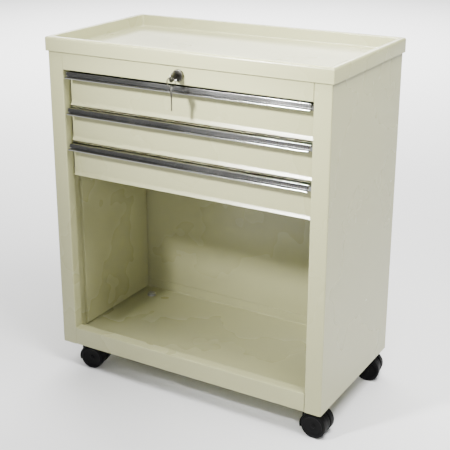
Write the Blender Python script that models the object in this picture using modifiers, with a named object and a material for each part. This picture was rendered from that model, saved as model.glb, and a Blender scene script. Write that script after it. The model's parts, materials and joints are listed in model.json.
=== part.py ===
"""Rolling tool chest: a folded steel cabinet on four twin-wheel casters, with a tray top,
three shallow drawers on telescopic slides, a cam lock with its key, and an open bay below.

Units are metres. +Z is up, the drawers open towards -Y, and the floor is z = 0.
"""
import math

import bmesh
import bpy
from mathutils import Matrix, Vector

# ---- driving dimensions ---------------------------------------------------------------
WIDTH = 0.604            # cabinet, outside the side panels
DEPTH = 0.322            # cabinet, front of the stiles to the back
HEIGHT = 0.709           # floor to the tray's rim
BASE = 0.053             # floor to the cabinet's lower edge
SHEET = 0.0012           # sheet steel
GAP = 0.0003             # between pieces that touch
BEND = 0.0020            # outside radius of a fold
CABINET_Y = 0.014       # the key stands out in front, so the cabinet sits this far back

SIDE = WIDTH / 2
FRONT = -DEPTH / 2
BACK = DEPTH / 2

STILE = 0.034            # front post folded from each side panel
STILE_RETURN = 0.021     # its return into the cabinet
OPENING = SIDE - STILE   # half the width between the stiles
RETURN_BACK = FRONT + STILE_RETURN
BACK_LIP = 0.020         # the side panel's lip across the back
NOTCH_TOP = 0.075        # the stile's return is cut away below this, over the caster bolts
NOTCH_FRONT = 0.004      # the cut starts this far behind the stile's face

TRAY_OVERHANG = 0.004
TRAY_SKIRT = 0.028
TRAY_RIM = 0.011
TRAY_DEPTH = 0.025
TRAY_EDGE = 0.005        # radius of the rim's outer edge
PANEL_TOP = HEIGHT - TRAY_SKIRT + 0.0012

FLOOR_TOP = 0.060        # upper face of the bottom pan
FLOOR_LIP = 0.022        # its lip along the back panel
RAIL_HEIGHT = 0.039      # bottom rail

LINER_FACE = SIDE - 0.008
LINER_FRONT = -0.086
LINER_BACK = 0.151
LINER_BOTTOM = 0.065

DRAWERS = 3
PITCH = 0.0725           # from one drawer to the next
TOP_RAIL_BOTTOM = 0.6462
TOP_RAIL_FLANGE = 0.014
DRAWER_GAP = 0.004       # the dark line above each handle
DRAWER_FACE = FRONT + 0.019
DRAWER_HALF = OPENING - 0.003
FLARE_HEIGHT = 0.0115    # the front's lower edge kicks forward
FLARE_DEPTH = 0.0045
FRONT_FLANGE = 0.009
BOX_HALF = 0.255         # drawer box
BOX_BACK = 0.126
BOX_LIFT = 0.0045        # above the front's lower edge
BOX_HEIGHT = 0.056

SLIDE_HALF_HEIGHT = 0.0175
SLIDE_FRONT = DRAWER_FACE + FRONT_FLANGE + 0.002
SLIDE_LENGTH = 0.255
BRACKET_BACK = 0.150

HANDLE_HALF = 0.2622
HANDLE_BEAD = 0.00185    # radius of the rounded lower lip
HANDLE_GROOVE = 0.0006

LOCK_Z = 0.66375
LOCK_RADIUS = 0.011      # bezel
PLUG_RADIUS = 0.0068
PLUG_FACE = FRONT - 0.0063
LOCK_LENGTH = 0.018      # behind the rail's face
NUT_HALF = 0.012         # half the distance across the lock nut's flats
NUT_THICK = 0.0032
CAM_THICK = 0.0018
KEY_THICK = 0.0020
KEY_LENGTH = 0.047
KEY_BOW = 0.010          # radius
KEY_HOLE = 0.0025        # radius
KEY_HOLE_Y = -0.186
KEY_TURN = math.radians(16)      # the keyway's lean from upright, top to the right
RING_RADIUS = 0.009
RING_WIRE = 0.00075

STEM_X = 0.262
STEM_FRONT = -0.134
STEM_BACK = 0.116
BOLT_RADIUS = 0.004
BOLT_HEAD = 0.0085       # half the distance across the flats
WHEEL_RADIUS = 0.025
WHEEL_INNER = 0.0069     # from the caster's middle plane
WHEEL_OUTER = 0.0230
TRAIL = 0.0225           # swivel axis to axle
WEB_HALF = 0.0065
FENDER_GAP = 0.0007
FENDER_THICK = 0.0016
NECK_RADIUS = 0.0085
NECK_BOTTOM = 0.044
BOLT_END = 0.032
AXLE_RADIUS = 0.003

# corner, swivel axis, and the way each caster points at rest (degrees from +X)
CASTERS = (
    ("front_left", -STEM_X, STEM_FRONT, 10),
    ("front_right", STEM_X, STEM_FRONT, 0),
    ("back_left", -STEM_X, STEM_BACK, 18),
    ("back_right", STEM_X, STEM_BACK, 10),
)

CREAM = (0.73, 0.73, 0.60)
STEEL = (0.55, 0.56, 0.56)


# ---- scene, collections and materials -------------------------------------------------
for old in list(bpy.data.objects):
    bpy.data.objects.remove(old, do_unlink=True)

model = bpy.data.collections.new("rolling_tool_chest")
tools = bpy.data.collections.new("cutters")
for collection in (model, tools):
    bpy.context.scene.collection.children.link(collection)


def make_material(name, colour, roughness, metallic=0.0):
    """A Principled material."""
    mat = bpy.data.materials.new(name)
    mat.use_nodes = True
    shader = mat.node_tree.nodes["Principled BSDF"]
    shader.inputs["Base Color"].default_value = (*colour, 1.0)
    shader.inputs["Roughness"].default_value = roughness
    shader.inputs["Metallic"].default_value = metallic
    return mat


PAINT = make_material("cream_paint", CREAM, 0.42)
ALUMINIUM = make_material("anodised_aluminium", (0.62, 0.63, 0.64), 0.30, 1.0)
ZINC = make_material("zinc_plated_steel", STEEL, 0.38, 1.0)
NICKEL = make_material("nickel_plate", (0.70, 0.70, 0.68), 0.22, 1.0)
BLACK = make_material("black_nylon", (0.018, 0.018, 0.019), 0.45)


# ---- modelling helpers ----------------------------------------------------------------
def empty(name, location, parent=None, turn=0.0):
    """A guide to parent pieces to, optionally turned about the vertical."""
    guide = bpy.data.objects.new(name, None)
    guide.location = location
    guide.rotation_euler = (0, 0, turn)
    guide.parent = parent
    model.objects.link(guide)
    return guide


def place(obj, parent, material, location=(0, 0, 0), rotation=(0, 0, 0)):
    """Parents a piece, sets it in place and gives it its material."""
    obj.parent = parent
    obj.location = location
    obj.rotation_euler = rotation
    if material:
        obj.data.materials.append(material)
    return obj


def mesh_object(name, bm, collection=model):
    """Turns a bmesh into a linked object."""
    mesh = bpy.data.meshes.new(name)
    bm.to_mesh(mesh)
    bm.free()
    obj = bpy.data.objects.new(name, mesh)
    collection.objects.link(obj)
    return obj


def soften(obj, angle=32):
    """Smooth shading with sharp edges kept."""
    obj.data.shade_smooth()
    obj.data.set_sharp_from_angle(angle=math.radians(angle))


def round_edges(obj, width, segments=2, by_weight=False):
    """A Bevel modifier."""
    bevel = obj.modifiers.new("rounded", "BEVEL")
    bevel.width = width
    bevel.segments = segments
    bevel.limit_method = "WEIGHT" if by_weight else "ANGLE"
    bevel.angle_limit = math.radians(40)
    return bevel


def thicken(obj, thickness, offset):
    """A Solidify modifier."""
    solid = obj.modifiers.new("sheet", "SOLIDIFY")
    solid.thickness = thickness
    solid.offset = offset
    solid.use_even_offset = True


def combine(obj, other, operation):
    """A Boolean with a shape that itself stays out of the model."""
    for collection in list(other.users_collection):
        collection.objects.unlink(other)
    tools.objects.link(other)
    other.hide_render = True
    other.display_type = "WIRE"
    boolean = obj.modifiers.new(operation.lower(), "BOOLEAN")
    boolean.operation = operation
    boolean.object = other
    boolean.solver = "EXACT"


AXES = {
    "X": lambda a, b, along: Vector((along, a, b)),
    "Y": lambda a, b, along: Vector((a, along, b)),
    "Z": lambda a, b, along: Vector((a, b, along)),
}


def bent_sheet(name, path, axis, low, high, grow, bend=BEND):
    """A folded sheet. path is the section of one face, seen along axis, and the metal lies
    on the side that grow points to from the path's first stretch."""
    at = AXES[axis]
    bm = bmesh.new()
    verts = [bm.verts.new(at(a, b, low)) for a, b in path]
    edges = [bm.edges.new(pair) for pair in zip(verts, verts[1:])]
    swept = bmesh.ops.extrude_edge_only(bm, edges=edges)["geom"]
    moved = [item for item in swept if isinstance(item, bmesh.types.BMVert)]
    bmesh.ops.translate(bm, verts=moved, vec=at(0, 0, high - low))
    bmesh.ops.recalc_face_normals(bm, faces=bm.faces)
    if verts[0].link_faces[0].normal.dot(at(grow[0], grow[1], 0)) < 0:
        bmesh.ops.reverse_faces(bm, faces=bm.faces)
    obj = mesh_object(name, bm)
    if bend:
        round_edges(obj, bend)
    thicken(obj, SHEET, 1)
    soften(obj)
    return obj


def box(name, low, high, collection=model):
    """A box between two corners, with its origin at its middle."""
    bm = bmesh.new()
    bmesh.ops.create_cube(bm, size=1)
    size = [b - a for a, b in zip(low, high)]
    bmesh.ops.scale(bm, verts=bm.verts, vec=size)
    obj = mesh_object(name, bm, collection)
    obj.location = [(a + b) / 2 for a, b in zip(low, high)]
    return obj


def cylinder(name, radius, low, high, segments=24):
    """A cylinder along Z between two heights."""
    bm = bmesh.new()
    bmesh.ops.create_cone(bm, cap_ends=True, segments=segments, radius1=radius,
                          radius2=radius, depth=high - low)
    bmesh.ops.translate(bm, verts=bm.verts, vec=(0, 0, (low + high) / 2))
    return mesh_object(name, bm)


def turned(name, profile, steps):
    """A turned piece about Z. The profile of (radius, height) runs top to bottom."""
    bm = bmesh.new()
    verts = [bm.verts.new((radius, 0, height)) for radius, height in profile]
    for pair in zip(verts, verts[1:]):
        bm.edges.new(pair)
    obj = mesh_object(name, bm)
    screw = obj.modifiers.new("turned", "SCREW")
    screw.steps = steps
    screw.render_steps = steps
    screw.use_merge_vertices = True
    screw.merge_threshold = 0.00001
    screw.use_smooth_shade = False
    return obj


def arc(centre, radius, start, end, steps):
    """Points along an arc, with its angles in degrees."""
    angles = [math.radians(start + (end - start) * i / steps) for i in range(steps + 1)]
    return [(centre[0] + radius * math.cos(a), centre[1] + radius * math.sin(a)) for a in angles]


def plate(name, loops, thickness):
    """A flat outline in the local XY plane; loops after the first are holes."""
    curve = bpy.data.curves.new(name, "CURVE")
    curve.dimensions = "2D"
    curve.fill_mode = "BOTH"
    curve.extrude = thickness / 2
    for loop in loops:
        spline = curve.splines.new("POLY")
        spline.points.add(len(loop) - 1)
        for point, (a, b) in zip(spline.points, loop):
            point.co = (a, b, 0, 1)
        spline.use_cyclic_u = True
    obj = bpy.data.objects.new(name, curve)
    model.objects.link(obj)
    return obj


def as_mesh(obj):
    """A curve object made a mesh object, with its caps welded on."""
    bpy.context.view_layer.update()
    evaluated = obj.evaluated_get(bpy.context.evaluated_depsgraph_get())
    mesh = bpy.data.meshes.new_from_object(evaluated)
    bm = bmesh.new()
    bm.from_mesh(mesh)
    bmesh.ops.remove_doubles(bm, verts=bm.verts, dist=0.000001)
    bm.to_mesh(mesh)
    bm.free()
    name = obj.name
    matrix = obj.matrix_world.copy()
    bpy.data.objects.remove(obj)
    solid = bpy.data.objects.new(name, mesh)
    solid.matrix_world = matrix
    model.objects.link(solid)
    return solid


UPRIGHT_YZ = (math.radians(90), 0, math.radians(90))   # local XY becomes the YZ plane
UPRIGHT_XZ = (math.radians(90), 0, 0)                  # local XY becomes the XZ plane
INTO_LOCK = (0, math.radians(90) - KEY_TURN, math.radians(180))   # a key's blade to +Y


# ---- cabinet --------------------------------------------------------------------------
def side_panel(chest, name, side):
    """One sheet: stile return, stile, side and back lip."""
    path = [(side * x, y) for x, y in (
        (OPENING, RETURN_BACK), (OPENING, FRONT), (SIDE, FRONT), (SIDE, BACK),
        (SIDE - BACK_LIP, BACK))]
    panel = place(bent_sheet(name, path, "Z", BASE, PANEL_TOP, (side, 0)), chest, PAINT)
    inner, outer = sorted((side * (OPENING - 0.002), side * (OPENING + 0.004)))
    notch = box(name + "_notch", (inner, FRONT + NOTCH_FRONT, BASE - 0.01),
                (outer, RETURN_BACK + 0.01, NOTCH_TOP))
    notch.parent = chest
    combine(panel, notch, "DIFFERENCE")


def side_liner(chest, name, side):
    """A shallow pan that stiffens the inside of a side panel."""
    outer = SIDE - SHEET - GAP
    path = [(side * x, y) for x, y in (
        (outer, LINER_FRONT), (LINER_FACE, LINER_FRONT), (LINER_FACE, LINER_BACK),
        (outer, LINER_BACK))]
    top = TOP_RAIL_BOTTOM - 0.006
    place(bent_sheet(name, path, "Z", LINER_BOTTOM, top, (0, 1)), chest, PAINT)


def slide_bracket(chest, name, side):
    """The upright that the drawer slides are riveted to."""
    low = TOP_RAIL_BOTTOM - DRAWERS * PITCH + 0.003
    high = TOP_RAIL_BOTTOM - 0.006
    reach = LINER_FACE - GAP - SHEET
    path = [(side * x, z) for x, z in (
        (reach, high), (OPENING, high), (OPENING, low), (reach, low))]
    sheet = bent_sheet(name, path, "Y", RETURN_BACK + GAP, BRACKET_BACK, (0, -1))
    place(sheet, chest, ZINC)


def back_panel(chest):
    """A plain sheet held behind the side panels' lips."""
    half = SIDE - SHEET - 2 * GAP
    face = BACK - SHEET - 2 * GAP
    panel = box("back_panel", (-half, face - SHEET, FLOOR_TOP - 0.004), (half, face, PANEL_TOP))
    place(panel, chest, PAINT, panel.location.copy())


def bottom_pan(chest):
    """The bay's floor, with a lip up the back and a hole over each caster."""
    half = SIDE - SHEET - 2 * GAP
    lip = BACK - 2 * SHEET - 4 * GAP - SHEET
    path = [(FRONT + NOTCH_FRONT + GAP, FLOOR_TOP), (lip, FLOOR_TOP),
            (lip, FLOOR_TOP + FLOOR_LIP)]
    pan = place(bent_sheet("bottom_pan", path, "X", -half, half, (0, -1)), chest, PAINT)
    for corner, x, y, _ in CASTERS:
        hole = cylinder("pan_hole_" + corner, BOLT_RADIUS + GAP, FLOOR_TOP - 0.01,
                        FLOOR_TOP + 0.01, 20)
        hole.parent = chest
        hole.location = (x, y, 0)
        combine(pan, hole, "DIFFERENCE")


def bottom_rail(chest):
    """The hollow rail across the front of the bay."""
    top = BASE + RAIL_HEIGHT
    path = [(FRONT + 0.011, BASE), (FRONT, BASE), (FRONT, top), (RETURN_BACK, top),
            (RETURN_BACK, NOTCH_TOP)]
    half = OPENING - GAP
    place(bent_sheet("bottom_rail", path, "X", -half, half, (0, 1)), chest, PAINT)


def top_rail(chest):
    """The fixed strip above the drawers, which holds the lock."""
    half = OPENING - GAP
    path = [(FRONT + TOP_RAIL_FLANGE, TOP_RAIL_BOTTOM), (FRONT, TOP_RAIL_BOTTOM),
            (FRONT, PANEL_TOP)]
    rail = place(bent_sheet("top_rail", path, "X", -half, half, (0, 1), 0.0015), chest, PAINT)
    hole = cylinder("lock_hole", LOCK_RADIUS - 0.002 + GAP, -0.01, 0.01, 32)
    hole.parent = chest
    hole.location = (0, FRONT, LOCK_Z)
    hole.rotation_euler = UPRIGHT_XZ
    combine(rail, hole, "DIFFERENCE")


def top_tray(chest):
    """The tray: floor, inner walls, rounded rim and outer skirt, folded from one sheet."""
    outer = (SIDE + TRAY_OVERHANG, BACK + TRAY_OVERHANG)
    inner = tuple(half - TRAY_RIM for half in outer)
    floor = HEIGHT - TRAY_DEPTH
    bm = bmesh.new()
    bmesh.ops.create_grid(bm, x_segments=1, y_segments=1, size=1)
    bmesh.ops.scale(bm, verts=bm.verts, vec=(inner[0], inner[1], 1))
    bmesh.ops.translate(bm, verts=bm.verts, vec=(0, 0, floor))
    steps = ((inner, inner, HEIGHT), (inner, outer, HEIGHT), (outer, outer, HEIGHT - TRAY_SKIRT))
    for start, end, height in steps:
        rim = [edge for edge in bm.edges if edge.is_boundary]
        geom = bmesh.ops.extrude_edge_only(bm, edges=rim)["geom"]
        verts = [item for item in geom if isinstance(item, bmesh.types.BMVert)]
        for vert in verts:
            vert.co.x *= end[0] / start[0]
            vert.co.y *= end[1] / start[1]
            vert.co.z = height
    bmesh.ops.recalc_face_normals(bm, faces=bm.faces)
    if min(bm.faces, key=lambda face: face.calc_center_median().length).normal.z < 0:
        bmesh.ops.reverse_faces(bm, faces=bm.faces)
    weight = bm.edges.layers.float.new("bevel_weight_edge")
    for edge in bm.edges:
        if edge.is_boundary:
            continue
        level = all(abs(vert.co.z - HEIGHT) < 1e-6 for vert in edge.verts)
        outside = all(abs(vert.co.x) > inner[0] + 1e-6 for vert in edge.verts)
        upright = abs(edge.verts[0].co.z - edge.verts[1].co.z) > 0.001
        if outside:
            edge[weight] = 1.0 if level else 0.3
        elif level:
            edge[weight] = 0.4 if abs(edge.verts[0].co.x) - abs(edge.verts[1].co.x) < 1e-6 else 0
        else:
            edge[weight] = 0.15 if upright else 0.3
    tray = place(mesh_object("top_tray", bm), chest, PAINT)
    round_edges(tray, TRAY_EDGE, 3, by_weight=True)
    thicken(tray, SHEET, -1)
    soften(tray)


# ---- drawers and slides ---------------------------------------------------------------
def drawer_front(parent, name, low, high):
    """A pan with flanges all round, whose lower edge kicks forward."""
    bm = bmesh.new()
    bmesh.ops.create_grid(bm, x_segments=1, y_segments=2, size=1)
    fold = low + FLARE_HEIGHT
    for vert in bm.verts:
        row = round(vert.co.y)
        vert.co = (vert.co.x * DRAWER_HALF, 0 if row >= 0 else -FLARE_DEPTH,
                   {-1: low, 0: fold, 1: high}[row])
    rim = [edge for edge in bm.edges if edge.is_boundary]
    geom = bmesh.ops.extrude_edge_only(bm, edges=rim)["geom"]
    for item in geom:
        if isinstance(item, bmesh.types.BMVert):
            item.co.y += FRONT_FLANGE
    bmesh.ops.recalc_face_normals(bm, faces=bm.faces)
    if min(bm.faces, key=lambda face: face.calc_center_median().y).normal.y > 0:
        bmesh.ops.reverse_faces(bm, faces=bm.faces)
    front = place(mesh_object(name, bm), parent, PAINT, (0, DRAWER_FACE, 0))
    round_edges(front, 0.0016)
    thicken(front, 0.001, -1)
    soften(front)


def drawer_box(parent, name, low):
    """An open box of thin sheet."""
    front = DRAWER_FACE + FRONT_FLANGE + GAP
    bm = bmesh.new()
    bmesh.ops.create_cube(bm, size=1)
    top = max(bm.faces, key=lambda face: face.calc_center_median().z)
    bmesh.ops.delete(bm, geom=[top], context="FACES_ONLY")
    bmesh.ops.scale(bm, verts=bm.verts, vec=(2 * BOX_HALF, BOX_BACK - front, BOX_HEIGHT))
    tub = mesh_object(name, bm)
    place(tub, parent, PAINT, (0, (front + BOX_BACK) / 2, low + BOX_LIFT + BOX_HEIGHT / 2))
    round_edges(tub, 0.002)
    thicken(tub, 0.001, -1)
    soften(tub)


def handle_section():
    """The pull's section as (distance in front of the drawer face, height from its top)."""
    face_top = Vector((0.0140, -0.0008))
    face_low = Vector((0.0182, -0.0080))
    along = (face_low - face_top).normalized()
    inward = Vector((along.y, -along.x))
    points = [(0.0003, -0.0150), (0.0003, -0.0004), (0.0008, 0.0), (0.0128, 0.0)]
    points.append(tuple(face_top))
    length = (face_low - face_top).length
    for start in (0.24, 0.60):
        for share, depth in ((start, 0), (start + 0.02, 1), (start + 0.14, 1), (start + 0.16, 0)):
            spot = face_top + along * (share * length) + inward * (HANDLE_GROOVE * depth)
            points.append(tuple(spot))
    points.extend([tuple(face_low), (0.0167, -0.0085), (0.0170, -0.0098)])
    points.extend(arc((0.0190, -0.01145), HANDLE_BEAD, 125, -160, 12))
    points.extend([(0.0152, -0.0092), (0.0124, -0.0017), (0.0020, -0.0017), (0.0018, -0.0150)])
    return points


def handle(parent, name, high):
    """The full-width pull, an extrusion, set on the drawer's front."""
    outline = [(-out, height) for out, height in handle_section()]
    pull = plate(name, [outline], 2 * HANDLE_HALF)
    place(pull, parent, ALUMINIUM, (0, DRAWER_FACE, high), UPRIGHT_YZ)


def channel(name, side, web, lips, half_height, start, length, parent):
    """One member of a telescopic slide: a web with two lips."""
    path = [(side * lips, half_height), (side * web, half_height),
            (side * web, -half_height), (side * lips, -half_height)]
    member = bent_sheet(name, path, "Y", start, start + length, (0, -1), 0)
    return place(member, parent, ZINC)


def drawer(chest, number):
    """A drawer with its front, pull and both slides."""
    high = TOP_RAIL_BOTTOM - DRAWER_GAP - (number - 1) * PITCH
    low = high - PITCH + DRAWER_GAP
    moving = empty(f"drawer_{number}", (0, 0, 0), chest)
    half_way = empty(f"drawer_{number}_middle_members", (0, 0, 0), chest)
    drawer_front(moving, f"drawer_{number}_front", low, high)
    drawer_box(moving, f"drawer_{number}_box", low)
    handle(moving, f"drawer_{number}_handle", high)
    centre = low + BOX_LIFT + BOX_HEIGHT / 2
    outer_web = OPENING - GAP
    for word, side in (("left", -1), ("right", 1)):
        members = (
            ("outer", outer_web, outer_web - 0.0097, SLIDE_HALF_HEIGHT, SLIDE_LENGTH, chest),
            ("middle", outer_web - 0.0023, outer_web - 0.0102, SLIDE_HALF_HEIGHT - 0.0017,
             SLIDE_LENGTH - 0.008, half_way),
            ("inner", BOX_HALF + GAP, BOX_HALF + 0.0076, SLIDE_HALF_HEIGHT - 0.0036,
             SLIDE_LENGTH, moving),
        )
        for member, web, lips, half_height, length, parent in members:
            piece = channel(f"slide_{number}_{word}_{member}", side, web, lips, half_height,
                            SLIDE_FRONT, length, parent)
            piece.location.z = centre


# ---- lock and keys --------------------------------------------------------------------
def key_outline():
    """A key in its own plane: hole at the origin, blade towards -Y."""
    blade = 0.0034
    tip = KEY_BOW * 0.55 - KEY_LENGTH
    shoulder = tip + 0.0245
    bow = arc((0, -0.0045), KEY_BOW, -55, 235, 20)
    notches = []
    for step in range(4):
        start = shoulder - 0.004 - step * 0.0045
        notches += [(-blade, start), (-blade + 0.0014, start - 0.0013), (-blade, start - 0.0026)]
    edge = [(-blade - 0.001, shoulder), (-blade, shoulder - 0.001)] + notches
    return [bow + edge + [(-blade, tip + 0.003), (-0.0005, tip), (blade, tip + 0.003),
                          (blade, shoulder), (blade + 0.001, shoulder)],
            arc((0, 0), KEY_HOLE, 360, 30, 11)]


def lock_and_keys(chest):
    """The cam lock and its nut, the key in it and the ring through that key."""
    proud = FRONT - PLUG_FACE
    bore = PLUG_RADIUS + GAP
    barrel = LOCK_RADIUS - 0.002
    housing_profile = (
        (bore, proud), (LOCK_RADIUS - 0.0022, proud), (LOCK_RADIUS - 0.0007, proud - 0.0007),
        (LOCK_RADIUS, proud - 0.002), (LOCK_RADIUS, GAP), (barrel, GAP),
        (barrel, -LOCK_LENGTH), (bore, -LOCK_LENGTH), (bore, proud))
    housing = turned("lock_housing", housing_profile, 32)
    place(housing, chest, NICKEL, (0, FRONT, LOCK_Z), UPRIGHT_XZ)
    soften(housing)

    nut = cylinder("lock_nut", NUT_HALF / math.cos(math.radians(30)), 0, NUT_THICK, 6)
    thread = cylinder("nut_thread", barrel + GAP, -0.01, 0.01, 32)
    place(nut, chest, ZINC, (0, FRONT + SHEET + GAP + NUT_THICK, LOCK_Z), UPRIGHT_XZ)
    thread.parent = nut
    combine(nut, thread, "DIFFERENCE")

    axis = empty("lock_axis", (0, FRONT, LOCK_Z), chest)
    plug = cylinder("lock_plug", PLUG_RADIUS, -LOCK_LENGTH - GAP, proud, 32)
    place(plug, axis, NICKEL, (0, 0, 0), UPRIGHT_XZ)
    half_slot = KEY_THICK / 2 + GAP
    keyway = box("keyway", (-half_slot, -0.020, -0.0040), (half_slot, LOCK_LENGTH - 0.001, 0.0040))
    keyway.parent = axis
    keyway.rotation_euler.y = KEY_TURN
    combine(plug, keyway, "DIFFERENCE")
    soften(plug)

    reach = LOCK_Z - (TOP_RAIL_BOTTOM - DRAWER_GAP) - 0.0012
    cam_outline = arc((0, 0), 0.0070, 60, 300, 12)
    cam_outline += arc((reach - 0.0045, 0), 0.0045, -80, 80, 6)
    cam = plate("lock_cam", [cam_outline], CAM_THICK)
    place(cam, axis, ZINC, (0, LOCK_LENGTH + 2 * GAP + CAM_THICK / 2, 0), UPRIGHT_XZ)

    key = plate("key_in_lock", key_outline(), KEY_THICK)
    place(key, axis, NICKEL, (0, KEY_HOLE_Y - FRONT, 0), INTO_LOCK)

    swing = empty("ring_pivot", (0, KEY_HOLE_Y - FRONT, 0), axis)
    place(wire_ring("key_ring"), swing, NICKEL, (0, 0, -RING_RADIUS), UPRIGHT_XZ)


def wire_ring(name):
    """A closed ring of round wire."""
    bpy.ops.mesh.primitive_torus_add(major_radius=RING_RADIUS, minor_radius=RING_WIRE,
                                     major_segments=28, minor_segments=8)
    ring = bpy.context.active_object
    ring.name = name
    for collection in list(ring.users_collection):
        collection.objects.unlink(ring)
    model.objects.link(ring)
    soften(ring, 60)
    return ring


# ---- casters --------------------------------------------------------------------------
def caster(chest, corner, x, y, turn):
    """Bolt, swivelling hood and two wheels."""
    name = "caster_" + corner
    post = empty(name, (x, y, 0), chest)
    bolt = cylinder(name + "_bolt", BOLT_HEAD / math.cos(math.radians(30)), FLOOR_TOP + GAP,
                    FLOOR_TOP + GAP + 0.0062, 6)
    shank = cylinder(name + "_shank", BOLT_RADIUS, BOLT_END, FLOOR_TOP + 0.002, 20)
    shank.parent = post
    place(bolt, post, ZINC)
    combine(bolt, shank, "UNION")

    swivel = empty(name + "_swivel", (0, 0, 0), post, math.radians(turn))
    place(caster_hood(name + "_hood", swivel), swivel, BLACK)

    for word, side in (("a", -1), ("b", 1)):
        profile = (
            (0, WHEEL_OUTER), (WHEEL_RADIUS - 0.0035, WHEEL_OUTER),
            (WHEEL_RADIUS - 0.0012, WHEEL_OUTER - 0.0007), (WHEEL_RADIUS, WHEEL_OUTER - 0.0024),
            (WHEEL_RADIUS, WHEEL_INNER + 0.0015), (WHEEL_RADIUS - 0.001, WHEEL_INNER),
            (AXLE_RADIUS + GAP, WHEEL_INNER), (AXLE_RADIUS + GAP, WHEEL_OUTER - 0.0025),
            (0, WHEEL_OUTER - 0.0025))
        wheel = turned(f"{name}_wheel_{word}", profile, 36)
        place(wheel, swivel, BLACK, (TRAIL, 0, WHEEL_RADIUS), (math.radians(-90 * side), 0, 0))
        soften(wheel)


STAND = Matrix.Rotation(math.radians(90), 4, "X")


def stood_up(outline):
    """A flat plate made a mesh and turned from the XY plane into the XZ plane."""
    solid = as_mesh(outline)
    solid.data.transform(STAND)
    return solid


def caster_hood(name, swivel):
    """Fender, web between the wheels, neck for the bolt and the fixed axle."""
    centre = (TRAIL, WHEEL_RADIUS)
    inner = WHEEL_RADIUS + FENDER_GAP
    fender_outline = arc(centre, inner + FENDER_THICK, 66, 196, 26)
    fender_outline += arc(centre, inner, 196, 66, 26)
    fender = stood_up(plate(name, [fender_outline], 2 * WHEEL_OUTER - 0.001))

    web_outline = arc(centre, 0.0205, -150, 62, 22)
    web_outline += arc(centre, inner + FENDER_THICK / 2, 70, 125, 8)
    web_outline += [(WEB_HALF, NECK_BOTTOM + 0.004), (-WEB_HALF, NECK_BOTTOM + 0.004),
                    (-WEB_HALF, BOLT_END - 0.002), (-0.0035, 0.024)]
    web = stood_up(plate(name + "_web", [web_outline], 2 * WEB_HALF))
    neck = cylinder(name + "_neck", NECK_RADIUS, NECK_BOTTOM, FLOOR_TOP - SHEET - GAP, 28)
    axle = cylinder(name + "_axle", AXLE_RADIUS, -WHEEL_OUTER + 0.003, WHEEL_OUTER - 0.003, 20)
    axle.data.transform(Matrix.Translation((TRAIL, 0, WHEEL_RADIUS)) @ STAND)
    bore = cylinder(name + "_bore", BOLT_RADIUS + GAP, BOLT_END - 0.001, FLOOR_TOP + 0.01, 20)
    for shape, operation in ((web, "UNION"), (neck, "UNION"), (axle, "UNION"),
                             (bore, "DIFFERENCE")):
        shape.parent = swivel
        combine(fender, shape, operation)
    soften(fender)
    return fender


# ---- assembly -------------------------------------------------------------------------
chest = empty("rolling_tool_chest_origin", (0, CABINET_Y, 0))
for word, side in (("left", -1), ("right", 1)):
    side_panel(chest, "side_panel_" + word, side)
    side_liner(chest, "side_liner_" + word, side)
    slide_bracket(chest, "slide_bracket_" + word, side)
back_panel(chest)
bottom_pan(chest)
bottom_rail(chest)
top_rail(chest)
top_tray(chest)
for number in range(1, DRAWERS + 1):
    drawer(chest, number)
lock_and_keys(chest)
for corner, x, y, turn in CASTERS:
    caster(chest, corner, x, y, turn)
bpy.context.view_layer.update()
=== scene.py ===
"""Looks of the rolling tool chest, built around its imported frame.

Metres, +Z up, the drawers open towards -Y, and the floor is z = 0. Pieces take their places
from the frame's nodes. CAD nodes whose shape is right stay and get a finish and softened
edges. The tray, drawers, pulls, lock bezel, keys, ring, wheels and bolts are made again in
finer detail. The rivets, the slides' screws, the casters' webs and the second key are added.
"""
import json
import math

import bmesh
import bpy
from mathutils import Matrix, Vector


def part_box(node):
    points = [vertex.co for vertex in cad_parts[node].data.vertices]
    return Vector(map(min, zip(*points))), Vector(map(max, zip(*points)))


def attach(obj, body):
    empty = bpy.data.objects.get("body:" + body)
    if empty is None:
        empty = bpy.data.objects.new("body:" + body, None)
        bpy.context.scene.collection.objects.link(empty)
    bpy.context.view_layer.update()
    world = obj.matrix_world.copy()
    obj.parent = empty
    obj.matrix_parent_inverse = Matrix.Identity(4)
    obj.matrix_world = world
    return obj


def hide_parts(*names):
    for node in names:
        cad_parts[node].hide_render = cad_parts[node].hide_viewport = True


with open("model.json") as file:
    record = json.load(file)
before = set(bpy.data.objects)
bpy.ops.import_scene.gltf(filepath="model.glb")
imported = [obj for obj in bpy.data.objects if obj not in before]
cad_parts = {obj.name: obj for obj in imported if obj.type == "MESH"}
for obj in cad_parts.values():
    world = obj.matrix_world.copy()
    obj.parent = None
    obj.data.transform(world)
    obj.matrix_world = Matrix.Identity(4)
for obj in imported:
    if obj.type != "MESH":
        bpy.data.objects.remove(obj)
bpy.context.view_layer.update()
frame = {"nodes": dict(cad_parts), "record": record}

# ---- driving dimensions ---------------------------------------------------------------
SHEET = 0.0012
GAP = 0.0003             # clearance between neighbours
SMOOTH_ANGLE = math.radians(34)
EDGE = 0.00022           # broken edge of a cut sheet or a machined piece

TRAY_RIM = 0.0115        # outer face of the skirt to the inner wall
TRAY_DEPTH = 0.025
TRAY_EDGE = 0.0050       # radius of the rim's outer edge
TRAY_CORNER = 0.0022     # plan radius of the skirt
TRAY_WELL_CORNER = 0.005
TRAY_INNER_EDGE = 0.0022  # radius of the rim's inner edge
TRAY_FILLET = 0.0035     # between the inner wall and the floor

RIVET_INSET = 0.0115     # from the chest's sides to the rivets of the back panel
RIVETS_IN_ROW = 6

FLANGE = 0.009           # drawer front, face to the back of its flanges
FLARE_TILT = 30          # degrees of the kicked lower edge
FLARE_DEPTH = 0.0045     # how far the kicked edge stands forward
FLARE_RADIUS = 0.008     # of the bend above it
FRONT_EDGE = 0.0016      # radius of the folded edges
FRONT_SHEET = 0.001

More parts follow.
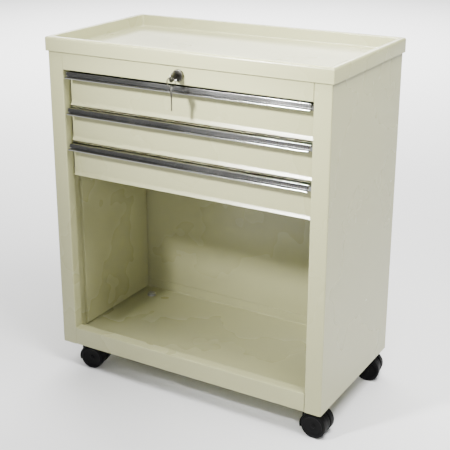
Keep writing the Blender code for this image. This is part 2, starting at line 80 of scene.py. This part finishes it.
PULL_BEAD = 0.00185      # radius of the bead along the pull's lower edge
PULL_GROOVES = (0.20, 0.48, 0.76)   # shares of the way down the pull's face
PULL_GROOVE = 0.00045    # depth of a groove, and half its width
PULL_END = 0.002         # length of the pull's last stretch at each end

TUB_SHEET = 0.001
TUB_HEM = 0.0014         # radius of the rolled top edge

KEY_THICK = 0.0020
KEY_LENGTH = 0.047
KEY_BOW = 0.010          # radius
KEY_BOW_OFFSET = 0.0045  # from the hole's centre to the bow's, towards the blade
KEY_HOLE = 0.0025        # radius
KEY_BLADE = 0.0034       # half the blade's width
KEY_CUTS = (0.0012, 0.0017, 0.0010, 0.0015)   # depths, from the shoulder to the tip
KEY_LEAN = 16            # degrees that the key in the lock leans from upright
RING_RADIUS = 0.009
RING_WIRE = 0.0007       # radius of the wire
RING_TURNS = 1.75
RING_STEPS = 90
RING_DRIFT = 0.00143     # how far the turns shift sideways from end to end
SPARE_KEY_TURN = 27      # degrees that the hanging key has turned from the YZ plane

WHEEL_RADIUS = 0.025
WEB_RADIUS = 0.0233      # disc between the twin wheels
WEB_HALF = 0.0062
CORNERS = ("front_left", "front_right", "back_left", "back_right")

CREAM = (0.355, 0.352, 0.190)
NYLON = (0.0022, 0.0022, 0.0024)
ALUMINIUM = (0.42, 0.42, 0.41)
NICKEL = (0.13, 0.125, 0.108)


# ---- materials ------------------------------------------------------------------------
def add_node(tree, kind, **values):
    """A node with its inputs set by name."""
    node = tree.nodes.new(kind)
    for name, value in values.items():
        node.inputs[name].default_value = value
    return node


def noise_at(tree, scale, detail=2.0, stretch=(1, 1, 1)):
    """Noise over the object's own coordinates, optionally stretched."""
    coordinates = add_node(tree, "ShaderNodeTexCoord")
    mapping = add_node(tree, "ShaderNodeMapping", Scale=stretch)
    grain = add_node(tree, "ShaderNodeTexNoise", Scale=scale, Detail=detail)
    tree.links.new(coordinates.outputs["Object"], mapping.inputs["Vector"])
    tree.links.new(mapping.outputs["Vector"], grain.inputs["Vector"])
    return grain.outputs["Fac"]


def spread(tree, value, low, high):
    """A noise value spread over a range."""
    node = tree.nodes.new("ShaderNodeMapRange")
    for name, number in (("From Min", 0.3), ("From Max", 0.7), ("To Min", low), ("To Max", high)):
        node.inputs[name].default_value = number
    tree.links.new(value, node.inputs["Value"])
    return node.outputs["Result"]


def blend_colours(tree, share, first, second):
    """A colour between two, by a share from 0 to 1."""
    mix = tree.nodes.new("ShaderNodeMix")
    mix.data_type = "RGBA"
    mix.inputs["A"].default_value = (*first, 1)
    mix.inputs["B"].default_value = (*second, 1)
    tree.links.new(share, mix.inputs["Factor"])
    return mix.outputs["Result"]


def add_bump(tree, shader, *layers):
    """Bump from layers of (height, strength, depth in metres)."""
    previous = None
    for height, strength, depth in layers:
        bump = add_node(tree, "ShaderNodeBump", Strength=strength, Distance=depth)
        tree.links.new(height, bump.inputs["Height"])
        if previous:
            tree.links.new(previous, bump.inputs["Normal"])
        previous = bump.outputs["Normal"]
    tree.links.new(previous, shader.inputs["Normal"])


def start_material(name, metallic=0.0):
    """A new material, with its node tree and its shader."""
    material = bpy.data.materials.new(name)
    material.use_nodes = True
    shader = material.node_tree.nodes["Principled BSDF"]
    shader.inputs["Metallic"].default_value = metallic
    return material, material.node_tree, shader


def scaled(colour, factor):
    """A colour made darker or lighter."""
    return tuple(channel * factor for channel in colour)


def cream_powder_coat():
    """Semi-gloss powder coat: faint clouding, orange peel and a finer grain."""
    material, tree, shader = start_material("cream_powder_coat")
    cloud = noise_at(tree, 5.0, 3.0)
    speck = noise_at(tree, 240.0, 2.0)
    tone = blend_colours(tree, spread(tree, cloud, 0, 1), scaled(CREAM, 0.985), scaled(CREAM, 1.015))
    fine = tree.nodes.new("ShaderNodeMix")
    fine.data_type = "RGBA"
    fine.blend_type = "MULTIPLY"
    fine.inputs["Factor"].default_value = 1.0
    tree.links.new(tone, fine.inputs["A"])
    tree.links.new(blend_colours(tree, spread(tree, speck, 0, 1), (0.985,) * 3, (1.0,) * 3),
                   fine.inputs["B"])
    tree.links.new(fine.outputs["Result"], shader.inputs["Base Color"])
    tree.links.new(spread(tree, cloud, 0.25, 0.31), shader.inputs["Roughness"])
    add_bump(tree, shader, (noise_at(tree, 420.0, 1.0), 0.10, 0.00025),
             (noise_at(tree, 1600.0, 2.0), 0.06, 0.00010))
    return material


def brushed_metal(name, colour, roughness, stretch, scale, strength):
    """A metal with fine lines, or an even grain, that vary its tone, and patches of gloss."""
    material, tree, shader = start_material(name, 1.0)
    lines = noise_at(tree, scale, 3.0, stretch)
    patches = noise_at(tree, 9.0, 2.0)
    tree.links.new(blend_colours(tree, spread(tree, lines, 0, 1), scaled(colour, 0.88), colour),
                   shader.inputs["Base Color"])
    tree.links.new(spread(tree, patches, roughness - 0.04, roughness + 0.04),
                   shader.inputs["Roughness"])
    add_bump(tree, shader, (lines, strength, 0.00006))
    return material


def zinc_plate():
    """Zinc-plated steel: a soft grain with faint yellow and blue patches."""
    material, tree, shader = start_material("zinc_plate", 1.0)
    patches = noise_at(tree, 38.0, 4.0)
    tree.links.new(blend_colours(tree, spread(tree, patches, 0, 1), (0.52, 0.53, 0.55),
                                 (0.60, 0.59, 0.55)), shader.inputs["Base Color"])
    tree.links.new(spread(tree, noise_at(tree, 160.0, 3.0), 0.30, 0.44),
                   shader.inputs["Roughness"])
    add_bump(tree, shader, (noise_at(tree, 900.0, 2.0), 0.15, 0.00005))
    return material


def moulded_nylon():
    """Black nylon with a fine spark-eroded grain and slightly scuffed gloss."""
    material, tree, shader = start_material("black_nylon")
    scuffs = noise_at(tree, 60.0, 4.0)
    tree.links.new(blend_colours(tree, spread(tree, scuffs, 0, 1), NYLON, scaled(NYLON, 1.35)),
                   shader.inputs["Base Color"])
    tree.links.new(spread(tree, scuffs, 0.42, 0.55), shader.inputs["Roughness"])
    shader.inputs["Specular IOR Level"].default_value = 0.09
    add_bump(tree, shader, (noise_at(tree, 1100.0, 2.0), 0.12, 0.00012))
    return material


FINISHES = {
    "cream_paint": cream_powder_coat(),
    "aluminium": brushed_metal("satin_aluminium", ALUMINIUM, 0.15, (0.2, 160, 160), 12.0, 0.012),
    "zinc_steel": zinc_plate(),
    "nickel": brushed_metal("nickel_plate", NICKEL, 0.28, (1, 1, 1), 300.0, 0.08),
    "black_nylon": moulded_nylon(),
}


# ---- mesh helpers ---------------------------------------------------------------------
def finish_mesh(obj, slot):
    """Gives a mesh its finish and smooth shading with sharp edges kept."""
    obj.data.materials.clear()
    obj.data.materials.append(FINISHES[slot])
    obj.data.shade_smooth()
    obj.data.set_sharp_from_angle(angle=SMOOTH_ANGLE)


def break_edges(obj, width=EDGE, segments=2, angle=50):
    """A small bevel along the sharp edges."""
    bevel = obj.modifiers.new("broken_edges", "BEVEL")
    bevel.width = width
    bevel.segments = segments
    bevel.limit_method = "ANGLE"
    bevel.angle_limit = math.radians(angle)
    bevel.harden_normals = True
    return bevel


def piece(name, bm, slot, body, *replaced):
    """Turns a bmesh in the row frame into a piece that rides on a body."""
    bmesh.ops.recalc_face_normals(bm, faces=bm.faces)
    mesh = bpy.data.meshes.new(name)
    bm.to_mesh(mesh)
    bm.free()
    obj = bpy.data.objects.new(name, mesh)
    bpy.context.scene.collection.objects.link(obj)
    finish_mesh(obj, slot)
    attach(obj, body)
    if replaced:
        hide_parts(*replaced)
    return obj


def arc(centre, radius, start, end, steps):
    """Points along an arc, with its angles in degrees."""
    angles = [math.radians(start + (end - start) * i / steps) for i in range(steps + 1)]
    return [(centre[0] + radius * math.cos(a), centre[1] + radius * math.sin(a)) for a in angles]


def loft(bm, loops, first_cap=False, last_cap=False, closed=True):
    """Faces between loops with the same number of points, with optional end caps."""
    rings = [[bm.verts.new(point) for point in loop] for loop in loops]
    for ring, after in zip(rings, rings[1:]):
        count = len(ring)
        for i in range(count if closed else count - 1):
            j = (i + 1) % count
            bm.faces.new((ring[i], ring[j], after[j], after[i]))
    if first_cap:
        bm.faces.new(list(reversed(rings[0])))
    if last_cap:
        bm.faces.new(rings[-1])


def rounded_rectangle(centre, half_x, half_y, radius, height, steps=6):
    """Points round a level rectangle with rounded corners."""
    points = []
    for quarter, (side_x, side_y) in enumerate(((1, 1), (-1, 1), (-1, -1), (1, -1))):
        middle = (centre.x + side_x * (half_x - radius), centre.y + side_y * (half_y - radius))
        for x, y in arc(middle, radius, 90 * quarter, 90 * quarter + 90, steps):
            points.append((x, y, height))
    return points


def turned(bm, profile, matrix, segments=48):
    """A turned shape about local Z from a profile of (radius, height)."""
    loops = []
    for step in range(segments):
        turn = Matrix.Rotation(2 * math.pi * step / segments, 4, "Z")
        loops.append([matrix @ turn @ Vector((radius, 0, height)) for radius, height in profile])
    loops.append(loops[0])
    loft(bm, loops, closed=False)
    bmesh.ops.remove_doubles(bm, verts=bm.verts, dist=1e-6)


def bevelled_plate(name, loops, thickness, bevel, matrix):
    """A mesh of a flat outline in local XY with rounded edges; loops after the first are holes."""
    curve = bpy.data.curves.new(name, "CURVE")
    curve.dimensions = "2D"
    curve.fill_mode = "BOTH"
    curve.extrude = thickness / 2 - bevel
    curve.bevel_depth = bevel
    curve.bevel_resolution = 2
    curve.offset = -bevel
    for loop in loops:
        spline = curve.splines.new("POLY")
        spline.points.add(len(loop) - 1)
        for point, (a, b) in zip(spline.points, loop):
            point.co = (a, b, 0, 1)
        spline.use_cyclic_u = True
    holder = bpy.data.objects.new(name, curve)
    bpy.context.scene.collection.objects.link(holder)
    bpy.context.view_layer.update()
    evaluated = holder.evaluated_get(bpy.context.evaluated_depsgraph_get())
    mesh = bpy.data.meshes.new_from_object(evaluated)
    bpy.data.objects.remove(holder)
    bpy.data.curves.remove(curve)
    bm = bmesh.new()
    bm.from_mesh(mesh)
    bpy.data.meshes.remove(mesh)
    bmesh.ops.remove_doubles(bm, verts=bm.verts, dist=1e-6)
    bmesh.ops.transform(bm, matrix=matrix, verts=bm.verts)
    return bm


def middle_of(node):
    """The middle of a node's box."""
    low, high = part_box(node)
    return (low + high) / 2


def basis(x_axis, y_axis, z_axis, origin):
    """A matrix from three axes and an origin."""
    matrix = Matrix((x_axis, y_axis, z_axis)).transposed().to_4x4()
    matrix.translation = origin
    return matrix


# ---- carried-over CAD nodes -----------------------------------------------------------
SLOT_OF = {entry["node"]: entry["material_slot"] for entry in frame["record"]["subparts"]}
for node_name, node in frame["nodes"].items():
    finish_mesh(node, SLOT_OF[node_name])
    break_edges(node)


# ---- cabinet --------------------------------------------------------------------------
def make_tray():
    """The tray: skirt, rounded rim, inner wall and floor of one pressed sheet."""
    low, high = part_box("top_tray")
    centre = (low + high) / 2
    half = (high - low) / 2
    floor = high.z - TRAY_DEPTH
    section = [(0, low.z), (0, low.z + 0.010)]
    section += [(TRAY_EDGE - a, b) for a, b in
                arc((0, high.z - TRAY_EDGE), TRAY_EDGE, 0, 90, 7)]
    section += [(TRAY_RIM - TRAY_INNER_EDGE + a, b) for a, b in
                arc((0, high.z - TRAY_INNER_EDGE), TRAY_INNER_EDGE, 90, 0, 5)]
    section += [(TRAY_RIM + TRAY_FILLET - a, b) for a, b in
                arc((0, floor + TRAY_FILLET), TRAY_FILLET, 0, -90, 5)]
    section += [(TRAY_RIM + 0.03, floor), (TRAY_RIM + 0.09, floor)]
    loops = []
    for inset, height in section:
        corner = max(TRAY_CORNER - inset, 0.0012) if inset < TRAY_RIM - 0.001 else TRAY_WELL_CORNER
        loops.append(rounded_rectangle(centre, half.x - inset, half.y - inset, corner, height))
    bm = bmesh.new()
    loft(bm, loops, last_cap=True)
    tray = piece("tray", bm, "cream_paint", "cabinet", "top_tray")
    sheet = tray.modifiers.new("sheet", "SOLIDIFY")
    sheet.thickness = SHEET
    sheet.offset = -1
    sheet.use_even_offset = True
    break_edges(tray, angle=60)


def back_fasteners():
    """Dome-head rivets that hold the back panel to the side panels' lips and the pan."""
    low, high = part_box("side_panel_left")
    panel_low, panel_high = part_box("back_panel")
    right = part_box("side_panel_right")[1].x
    places = []
    for step in range(RIVETS_IN_ROW):
        share = step / (RIVETS_IN_ROW - 1)
        height = low.z + 0.045 + share * (high.z - low.z - 0.105)
        for x in (low.x + RIVET_INSET, right - RIVET_INSET):
            places.append((x, high.y, height))
    for step in range(RIVETS_IN_ROW):
        share = step / (RIVETS_IN_ROW - 1)
        x = low.x + 0.075 + share * (right - low.x - 0.15)
        places.append((x, panel_high.y, panel_low.z + 0.014))
    dome = arc((0, -0.0016), 0.0034, 90, 28, 5) + [(0.0031, 0.0)]
    bm = bmesh.new()
    for place in places:
        stand = basis(Vector((1, 0, 0)), Vector((0, 0, -1)), Vector((0, 1, 0)), Vector(place))
        turned(bm, dome, stand, 20)
    piece("back_rivets", bm, "cream_paint", "cabinet")


# ---- drawers --------------------------------------------------------------------------
def drawer_face(number):
    """A drawer front: flat face, kicked lower edge and flanges all round."""
    low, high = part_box(f"drawer_{number}_front")
    face = high.y - FLANGE
    tilt = math.radians(FLARE_TILT)
    straight = (FLARE_DEPTH - FLARE_RADIUS * (1 - math.cos(tilt))) / math.tan(tilt)
    bend = low.z + straight + FLARE_RADIUS * math.sin(tilt)
    rows = [(face, high.z), (face, bend + 0.020), (face, bend + 0.004)]
    rows += arc((face - FLARE_RADIUS, bend), FLARE_RADIUS, 0, -FLARE_TILT, 6)
    rows.append((face - FLARE_DEPTH, low.z))
    bm = bmesh.new()
    loft(bm, [[(x, y, z) for x in (low.x, high.x)] for y, z in rows], closed=False)
    rim = [edge for edge in bm.edges if edge.is_boundary]
    swept = bmesh.ops.extrude_edge_only(bm, edges=rim)["geom"]
    for item in swept:
        if isinstance(item, bmesh.types.BMVert):
            item.co.y += FLANGE
    obj = piece(f"drawer_{number}_face", bm, "cream_paint", f"drawer_{number}",
                f"drawer_{number}_front")
    if obj.data.polygons[0].normal.y > 0:
        obj.data.flip_normals()
    fold = break_edges(obj, FRONT_EDGE, 4, 60)
    fold.name = "folded_edges"
    sheet = obj.modifiers.new("sheet", "SOLIDIFY")
    sheet.thickness = FRONT_SHEET
    sheet.offset = -1
    sheet.use_even_offset = True


def pull_section():
    """The pull's section as (distance in front of the drawer face, height from its top)."""
    face_top = Vector((0.0154, -0.0004))
    face_low = Vector((0.0172, -0.0068))
    along = face_low - face_top
    inward = Vector((along.y, -along.x)).normalized()
    points = [(0.0003, -0.0150), (0.0003, -0.0006)]
    points += arc((0.0009, -0.0006), 0.0006, 180, 90, 3)[1:]
    points += arc((0.0149, -0.0005), 0.0005, 90, 17, 4)
    for share in PULL_GROOVES:
        middle = face_top + along * share
        step = along.normalized() * PULL_GROOVE
        points += [tuple(middle - step), tuple(middle - step * 0.35 + inward * PULL_GROOVE),
                   tuple(middle + step * 0.35 + inward * PULL_GROOVE), tuple(middle + step)]
    points += [tuple(face_low), (0.0171, -0.0071), (0.0140, -0.0074), (0.0140, -0.0096)]
    points += arc((0.0190, -0.01145), PULL_BEAD, 125, -160, 20)
    points += [(0.0128, -0.0110), (0.0128, -0.0017), (0.0020, -0.0017), (0.0018, -0.0150)]
    return points


def drawer_pull(number):
    """The full-width pull, an extrusion with fine grooves, a deep one and a rounded bead."""
    low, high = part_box(f"drawer_{number}_handle")
    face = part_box(f"drawer_{number}_front")[1].y - FLANGE
    bm = bmesh.new()
    loops = [[(x, face - out, high.z + height) for out, height in pull_section()]
             for x in (low.x, low.x + PULL_END, high.x - PULL_END, high.x)]
    loft(bm, loops, first_cap=True, last_cap=True)
    piece(f"drawer_{number}_pull", bm, "aluminium", f"drawer_{number}",
          f"drawer_{number}_handle")


def drawer_tub(number):
    """The drawer's box: thin walls, soft inside corners and a rolled top edge."""
    low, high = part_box(f"drawer_{number}_box")
    centre = (low + high) / 2
    half = (high - low) / 2
    fillet = 0.002
    outer_corner = 0.0022
    top = high.z - TUB_HEM
    section = [(TUB_SHEET + 0.06, low.z + TUB_SHEET, 0.001)]
    section += [(TUB_SHEET + fillet - a, b, 0.0015) for a, b in
                arc((0, low.z + TUB_SHEET + fillet), fillet, -90, 0, 4)]
    section += [(TUB_SHEET - TUB_HEM + a, b, 0.0015 + (TUB_HEM - a)) for a, b in
                arc((0, top), TUB_HEM, 0, 180, 8)]
    section += [(TUB_SHEET - 2 * TUB_HEM, top - 0.003, 0.0045), (0, top - 0.003, outer_corner)]
    section += [(fillet - a, b, outer_corner) for a, b in
                arc((0, low.z + fillet), fillet, 0, -90, 4)]
    section += [(0.06, low.z, 0.001)]
    loops = [rounded_rectangle(centre, half.x - inset, half.y - inset, corner, height, 4)
             for inset, height, corner in section]
    bm = bmesh.new()
    loft(bm, loops, first_cap=True, last_cap=True)
    piece(f"drawer_{number}_tub", bm, "cream_paint", f"drawer_{number}",
          f"drawer_{number}_box")


def slide_screws(number):
    """Pan-head screws that hold the inner members to the drawer's box."""
    head = arc((0, -0.0008), 0.0030, 90, 20, 5) + [(0.0028, 0.0)]
    bm = bmesh.new()
    for word, side in (("left", -1), ("right", 1)):
        low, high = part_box(f"slide_{number}_{word}_inner")
        web = low.x + SHEET if side > 0 else high.x - SHEET
        for share in (0.12, 0.5, 0.88):
            place = Vector((web, low.y + share * (high.y - low.y), (low.z + high.z) / 2))
            stand = basis(Vector((0, 1, 0)), Vector((0, 0, side)), Vector((side, 0, 0)), place)
            turned(bm, head, stand, 20)
    piece(f"slide_{number}_screws", bm, "zinc_steel", f"drawer_{number}")


# ---- lock and keys --------------------------------------------------------------------
def key_outline():
    """A key in its own plane: hole at the origin, blade towards -Y."""
    tip = KEY_BOW - KEY_BOW_OFFSET - KEY_LENGTH
    shoulder = tip + 0.0245
    bow = arc((0, -KEY_BOW_OFFSET), KEY_BOW, -55, 235, 36)
    cuts = []
    for step, depth in enumerate(KEY_CUTS):
        start = shoulder - 0.004 - step * 0.0045
        cuts += [(-KEY_BLADE, start), (-KEY_BLADE + depth, start - 0.0011),
                 (-KEY_BLADE + depth, start - 0.0019), (-KEY_BLADE, start - 0.0030)]
    edge = [(-KEY_BLADE - 0.001, shoulder), (-KEY_BLADE, shoulder - 0.001)] + cuts
    edge += [(-KEY_BLADE, tip + 0.003), (-0.0005, tip), (KEY_BLADE, tip + 0.003),
             (KEY_BLADE, shoulder), (KEY_BLADE + 0.001, shoulder)]
    return [bow + edge, arc((0, 0), KEY_HOLE, 360, 15, 23)]


def make_key(name, matrix, body, *replaced):
    """A key with rounded edges."""
    bm = bevelled_plate(name, key_outline(), KEY_THICK, 0.00025, matrix)
    piece(name, bm, "nickel", body, *replaced)


def lock_housing():
    """The lock's bezel with its threaded barrel behind the rail."""
    low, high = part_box("lock_housing")
    centre = (low + high) / 2
    radius = (high.x - low.x) / 2
    front = low.y
    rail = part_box("top_rail")[0].y
    proud = rail - front
    plug_low, plug_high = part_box("lock_plug")
    bore = (plug_high.x - plug_low.x) / 2 + GAP
    barrel = radius - 0.002
    profile = [(bore, 0.0), (bore, 0.0002), (bore + 0.0003, 0)]
    profile += [(radius - 0.0034, 0), (radius - 0.0030, 0.0004), (radius - 0.0026, 0.0004)]
    profile += arc((radius - 0.0016, 0.0016), 0.0016, -110, 0, 8)
    profile += [(radius, proud - 0.0005), (radius - 0.0003, proud - 0.0002), (barrel, proud - 0.0002)]
    thread = 0.0010
    for turn in range(int((high.y - rail - 0.002) / thread)):
        depth = proud + 0.001 + turn * thread
        profile += [(barrel, depth), (barrel - 0.0004, depth + thread / 2)]
    profile += [(barrel - 0.0004, high.y - front), (bore, high.y - front), (bore, 0.0)]
    stand = basis(Vector((1, 0, 0)), Vector((0, 0, -1)), Vector((0, 1, 0)),
                  Vector((centre.x, front, centre.z)))
    bm = bmesh.new()
    turned(bm, profile, stand, 56)
    piece("lock_bezel", bm, "nickel", "cabinet", "lock_housing")


def turned_key():
    """The key in the lock."""
    axis = middle_of("lock_plug")
    bow_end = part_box("key_in_lock")[0].y
    hole = Vector((axis.x, bow_end + KEY_BOW - KEY_BOW_OFFSET, axis.z))
    into_lock = basis(Vector((0, 0, -1)), Vector((0, -1, 0)), Vector((-1, 0, 0)), Vector())
    lean = Matrix.Rotation(math.radians(KEY_LEAN), 4, "Y")
    make_key("key_turned", Matrix.Translation(hole) @ lean @ into_lock, "lock", "key_in_lock")


def split_ring():
    """The ring on the turned key, a coil of almost two turns."""
    centre = middle_of("key_ring")
    loops = []
    for step in range(RING_STEPS + 1):
        angle = 2 * math.pi * RING_TURNS * step / RING_STEPS + 0.6
        out = Vector((math.cos(angle), 0, math.sin(angle)))
        drift = RING_DRIFT * (step / RING_STEPS - 0.5)
        spot = centre + out * RING_RADIUS + Vector((0, drift, 0))
        loops.append([spot + (out * math.cos(a) + Vector((0, math.sin(a), 0))) * RING_WIRE
                      for a in (2 * math.pi * i / 10 for i in range(10))])
    bm = bmesh.new()
    loft(bm, loops, first_cap=True, last_cap=True)
    piece("split_ring", bm, "nickel", "ring", "key_ring")


def spare_key():
    """The second key, which hangs from the foot of the ring."""
    centre = middle_of("key_ring")
    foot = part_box("key_ring")[0].z
    hole = Vector((centre.x, centre.y, foot + 2 * RING_WIRE - KEY_HOLE + GAP))
    turn = Matrix.Rotation(math.radians(SPARE_KEY_TURN), 4, "Z")
    down = basis(Vector((0, 1, 0)), Vector((0, 0, 1)), Vector((1, 0, 0)), Vector())
    make_key("spare_key", Matrix.Translation(hole) @ turn @ down, "ring")


# ---- casters --------------------------------------------------------------------------
def caster_axes(corner):
    """The bolt's place, the axle's middle and the caster's own axes at rest."""
    wheels = [middle_of(f"caster_{corner}_wheel_{word}") for word in "ab"]
    post = middle_of(f"caster_{corner}_bolt")
    axle = (wheels[0] + wheels[1]) / 2
    ahead = Vector((axle.x - post.x, axle.y - post.y, 0)).normalized()
    across = (wheels[1] - wheels[0]).normalized()
    return post, axle, ahead, across


def wheel_profile():
    """One wheel's section as (radius, distance from the caster's middle plane)."""
    inner, outer = 0.0069, 0.0230
    shoulder = 0.0026
    profile = [(0.0, outer - 0.0010), (0.0030, outer - 0.0011), (0.0042, outer - 0.0016),
               (0.0046, outer - 0.0024), (0.0060, outer - 0.0026), (0.0170, outer - 0.0014),
               (0.0186, outer - 0.0009), (0.0192, outer - 0.0002), (0.0200, outer),
               (0.0212, outer), (0.0217, outer - 0.0003)]
    profile += arc((WHEEL_RADIUS - shoulder, outer - shoulder - 0.0003), shoulder, 80, 0, 6)
    profile += arc((WHEEL_RADIUS - 0.0016, inner + 0.0016), 0.0016, 0, -90, 5)
    profile += [(0.0210, inner), (0.0200, inner + 0.0030), (0.0060, inner + 0.0030),
                (0.0058, inner), (0.0033, inner), (0.0033, inner + 0.010), (0.0, inner + 0.010)]
    return profile


def make_caster(corner):
    """The wheels, the web between them and the bolt of one caster."""
    name = f"caster_{corner}"
    post, axle, ahead, across = caster_axes(corner)
    up = Vector((0, 0, 1))
    for word, side in (("a", -1), ("b", 1)):
        stand = basis(ahead, up if side < 0 else -up, across * side, axle)
        bm = bmesh.new()
        turned(bm, wheel_profile(), stand, 64)
        wheel = f"{name}_wheel_{word}"
        piece(f"{wheel}_moulded", bm, "black_nylon", wheel, wheel)
    bm = bmesh.new()
    web = arc((WEB_RADIUS - 0.0010, WEB_HALF - 0.0010), 0.0010, 90, 0, 4)
    web += [(radius, -height) for radius, height in reversed(web)]
    turned(bm, [(0.0, WEB_HALF)] + web + [(0.0, -WEB_HALF)], basis(ahead, -up, across, axle), 64)
    piece(f"{name}_web", bm, "black_nylon", name)
    bolt_head(name, post)


def bolt_head(name, post):
    """A chamfered hexagon head with a washer face, on the caster's shank."""
    low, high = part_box(f"{name}_bolt")
    head_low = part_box("bottom_pan")[0].z + SHEET + GAP
    flats = (high.x - low.x) / 2
    washer = 0.0010
    bm = bmesh.new()
    hexagon = []
    for height, factor in ((head_low + washer, 0.97), (head_low + washer + 0.0004, 1.0),
                           (high.z - 0.0009, 1.0), (high.z, 0.90)):
        radius = flats / math.cos(math.radians(30)) * factor
        hexagon.append([(post.x + x, post.y + y, height) for x, y in
                        arc((0, 0), radius, 30, 330, 5)])
    loft(bm, hexagon, first_cap=True, last_cap=True)
    stand = Matrix.Translation((post.x, post.y, 0))
    turned(bm, [(0, head_low + washer), (0.0100, head_low + washer),
                (0.0103, head_low + washer - 0.0003), (0.0103, head_low), (0.0040, head_low),
                (0.0040, low.z + 0.0005), (0.0035, low.z), (0, low.z)], stand, 40)
    piece(f"{name}_bolt_head", bm, "zinc_steel", "cabinet", f"{name}_bolt")


make_tray()
back_fasteners()
for drawer in (1, 2, 3):
    drawer_face(drawer)
    drawer_pull(drawer)
    drawer_tub(drawer)
    slide_screws(drawer)
lock_housing()
turned_key()
split_ring()
spare_key()
for caster in CORNERS:
    make_caster(caster)


# ---- studio ---------------------------------------------------------------------------
CABINET_MIDDLE = Vector((middle_of("top_tray").x, middle_of("top_tray").y, 0))
FLOOR_RADIUS = 24
WORLD_STRENGTH = 0.16
SOFTBOXES = (            # name, azimuth, elevation, distance, size, power, aim, spread
    ("key_softbox", -25, 28, 1.29, (0.16, 0.16), 8.2, (0.13, -0.15, 0.70), 52),
    ("front_softbox", 30, 14, 1.4, (0.6, 0.6), 11, (0.25, -0.15, 0.60)),
    ("high_right_softbox", 70, 60, 1.5, (0.8, 0.8), 58),
    ("top_softbox", 0, 86, 2.6, (1.8, 1.6), 60),
    ("floor_softbox", -148, 88, 2.4, (4.0, 3.0), 640, (-1.9, 3.2, 0)),
)


def softbox(name, azimuth, elevation, distance, size, power, aim=(0, 0, 0.38), spread=180):
    """An area light that looks at a spot. Azimuth 0 is in front of it, and 90 is to its right."""
    a, e = math.radians(azimuth), math.radians(elevation)
    away = Vector((math.sin(a) * math.cos(e), -math.cos(a) * math.cos(e), math.sin(e)))
    light = bpy.data.lights.new(name, "AREA")
    light.shape = "RECTANGLE"
    light.size, light.size_y = size
    light.energy = power
    light.spread = math.radians(spread)
    holder = bpy.data.objects.new(name, light)
    holder.location = CABINET_MIDDLE + Vector(aim) + away * distance
    holder.rotation_euler = (-away).to_track_quat("-Z", "Y").to_euler()
    bpy.context.scene.collection.objects.link(holder)


def studio():
    """Pale floor, soft lights and an even pale surround."""
    bm = bmesh.new()
    bmesh.ops.create_circle(bm, cap_ends=True, segments=96, radius=FLOOR_RADIUS)
    mesh = bpy.data.meshes.new("studio_floor")
    bm.to_mesh(mesh)
    bm.free()
    ground = bpy.data.objects.new("studio_floor", mesh)
    bpy.context.scene.collection.objects.link(ground)
    material, tree, shader = start_material("studio_floor")
    tree.links.new(blend_colours(tree, noise_at(tree, 2.0), (0.72,) * 3, (0.74,) * 3),
                   shader.inputs["Base Color"])
    shader.inputs["Roughness"].default_value = 0.85
    mesh.materials.append(material)

    world = bpy.data.worlds.new("studio")
    world.use_nodes = True
    background = world.node_tree.nodes["Background"]
    background.inputs["Color"].default_value = (1, 1, 1, 1)
    background.inputs["Strength"].default_value = WORLD_STRENGTH
    bpy.context.scene.world = world

    for settings in SOFTBOXES:
        softbox(*settings)


studio()


# ---- camera ---------------------------------------------------------------------------
CAMERA_AZIMUTH = 31.60
CAMERA_ELEVATION = 18.93
CAMERA_ROLL = -0.37
CAMERA_LENS = 79.77
CAMERA_SHIFT = (0.0556, -0.0667)
CAMERA_PLACE = CABINET_MIDDLE + Vector((0.9592, -1.6495, 1.0424))
camera_data = bpy.data.cameras.new("camera")
camera_data.sensor_width = 36
camera_data.lens = CAMERA_LENS
camera_data.shift_x, camera_data.shift_y = CAMERA_SHIFT
camera = bpy.data.objects.new("camera", camera_data)
camera.location = CAMERA_PLACE
camera.rotation_euler = (
    Matrix.Rotation(math.radians(CAMERA_AZIMUTH), 3, "Z")
    @ Matrix.Rotation(math.radians(90 - CAMERA_ELEVATION), 3, "X")
    @ Matrix.Rotation(math.radians(CAMERA_ROLL), 3, "Z")).to_euler()
bpy.context.scene.collection.objects.link(camera)
bpy.context.scene.camera = camera
